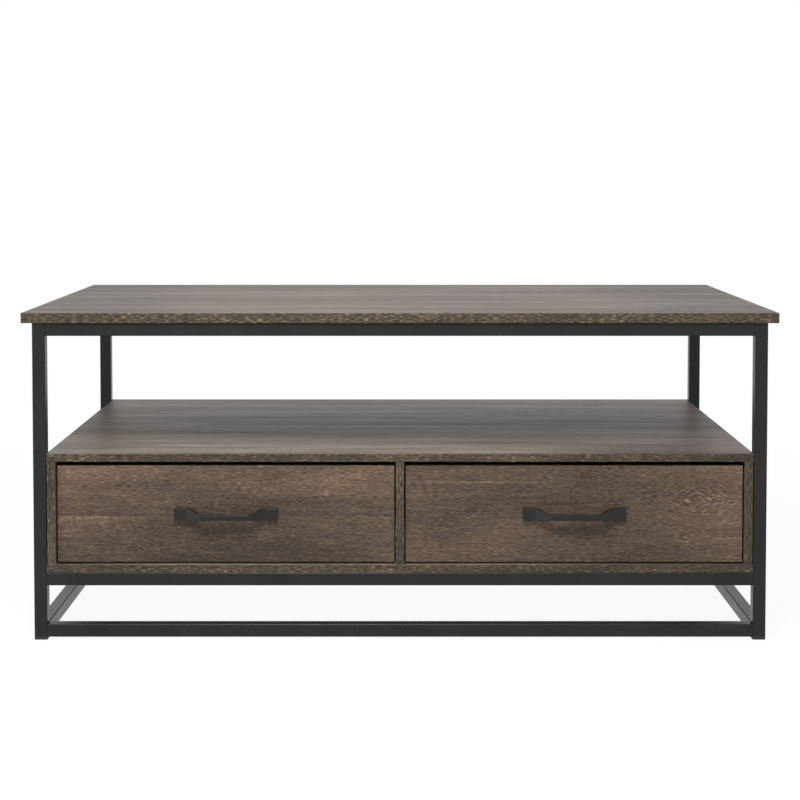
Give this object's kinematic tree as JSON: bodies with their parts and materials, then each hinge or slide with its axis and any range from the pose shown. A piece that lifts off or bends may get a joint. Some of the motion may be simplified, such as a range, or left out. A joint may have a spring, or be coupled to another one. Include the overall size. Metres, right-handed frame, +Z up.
{
  "type": "storage coffee table",
  "caption": "Low rectangular coffee table with a board top on a square steel tube frame, an open shelf, and a cabinet below it with inset drawers on roller runners.",
  "frame": {"origin": "on the floor under the middle of the table top", "axes": "+X along the table's length, to the right seen from the drawers' side; +Y to the back; +Z up. The drawers open towards -Y"},
  "size_m": [1.1, 0.612, 0.48],
  "materials": {
    "oak_laminate": "satin grey-brown oak laminate on particle board",
    "drawer_board": "plain laminate on particle board",
    "hardboard": "printed hardboard",
    "black_steel": "matt black powder coat",
    "black_bolt": "black oxide",
    "handle_metal": "satin black lacquer",
    "runner_steel": "off-white epoxy coat",
    "roller_nylon": "natural nylon",
    "zinc_steel": "zinc plate",
    "glide_plastic": "matt"
  },
  "bodies": {
    "table": {"base_rail_front": "black_steel", "base_rail_rear": "black_steel", "base_side_rails": "black_steel", "cabinet_back": "hardboard", "cabinet_bottom": "oak_laminate", "cabinet_cam_fittings": "zinc_steel", "cabinet_divider": "oak_laminate", "cabinet_rail_front": "black_steel", "cabinet_rail_rear": "black_steel", "cabinet_screws": "zinc_steel", "cabinet_side_left": "oak_laminate", "cabinet_side_rails": "black_steel", "cabinet_side_right": "oak_laminate", "channel_screws": "zinc_steel", "foot_glides": "glide_plastic", "left_bay_channel_left": "runner_steel", "left_bay_channel_right": "runner_steel", "leg_front_left": "black_steel", "leg_front_right": "black_steel", "leg_rear_left": "black_steel", "leg_rear_right": "black_steel", "rail_bolts": "black_bolt", "right_bay_channel_left": "runner_steel", "right_bay_channel_right": "runner_steel", "shelf_board": "oak_laminate", "table_top": "oak_laminate", "top_rail_front": "black_steel", "top_rail_rear": "black_steel", "top_screws": "zinc_steel", "top_side_rails": "black_steel", "upright_screws": "zinc_steel"},
    "left_drawer": {"left_drawer_back": "drawer_board", "left_drawer_back_screws": "zinc_steel", "left_drawer_bottom": "hardboard", "left_drawer_cam_fittings": "zinc_steel", "left_drawer_front": "oak_laminate", "left_drawer_handle": "handle_metal", "left_drawer_handle_screws": "zinc_steel", "left_drawer_side_left": "drawer_board", "left_drawer_side_right": "drawer_board", "left_drawer_slide_left": "runner_steel", "left_drawer_slide_right": "runner_steel", "left_drawer_slide_screws": "zinc_steel"},
    "left_bay_rollers": {"left_bay_rollers": "roller_nylon"},
    "left_drawer_rollers": {"left_drawer_rollers": "roller_nylon"},
    "right_drawer": {"right_drawer_back": "drawer_board", "right_drawer_back_screws": "zinc_steel", "right_drawer_bottom": "hardboard", "right_drawer_cam_fittings": "zinc_steel", "right_drawer_front": "oak_laminate", "right_drawer_handle": "handle_metal", "right_drawer_handle_screws": "zinc_steel", "right_drawer_side_left": "drawer_board", "right_drawer_side_right": "drawer_board", "right_drawer_slide_left": "runner_steel", "right_drawer_slide_right": "runner_steel", "right_drawer_slide_screws": "zinc_steel"},
    "right_bay_rollers": {"right_bay_rollers": "roller_nylon"},
    "right_drawer_rollers": {"right_drawer_rollers": "roller_nylon"}
  },
  "joints": [
    {"name": "left_drawer_slide", "type": "slide", "parent": "table", "child": "left_drawer", "axis": [0, -1, 0], "range_m": [0, 0.34]},
    {"name": "left_bay_rollers_spin", "type": "hinge", "parent": "table", "child": "left_bay_rollers", "pos_m": [-0.2545, -0.261, 0.1345], "axis": [1, 0, 0], "range_deg": [0, 1950]},
    {"name": "left_drawer_rollers_spin", "type": "hinge", "parent": "left_drawer", "child": "left_drawer_rollers", "pos_m": [-0.2545, 0.142, 0.1345], "axis": [1, 0, 0], "range_deg": [0, 1950]},
    {"name": "right_drawer_slide", "type": "slide", "parent": "table", "child": "right_drawer", "axis": [0, -1, 0], "range_m": [0, 0.34]},
    {"name": "right_bay_rollers_spin", "type": "hinge", "parent": "table", "child": "right_bay_rollers", "pos_m": [0.2545, -0.261, 0.1345], "axis": [1, 0, 0], "range_deg": [0, 1950]},
    {"name": "right_drawer_rollers_spin", "type": "hinge", "parent": "right_drawer", "child": "right_drawer_rollers", "pos_m": [0.2545, 0.142, 0.1345], "axis": [1, 0, 0], "range_deg": [0, 1950]}
  ],
  "couplings": [
    {"joint": "left_bay_rollers_spin", "follows": "left_drawer_slide", "rad_per_m": 100},
    {"joint": "left_drawer_rollers_spin", "follows": "left_drawer_slide", "rad_per_m": 100},
    {"joint": "right_bay_rollers_spin", "follows": "right_drawer_slide", "rad_per_m": 100},
    {"joint": "right_drawer_rollers_spin", "follows": "right_drawer_slide", "rad_per_m": 100}
  ]
}
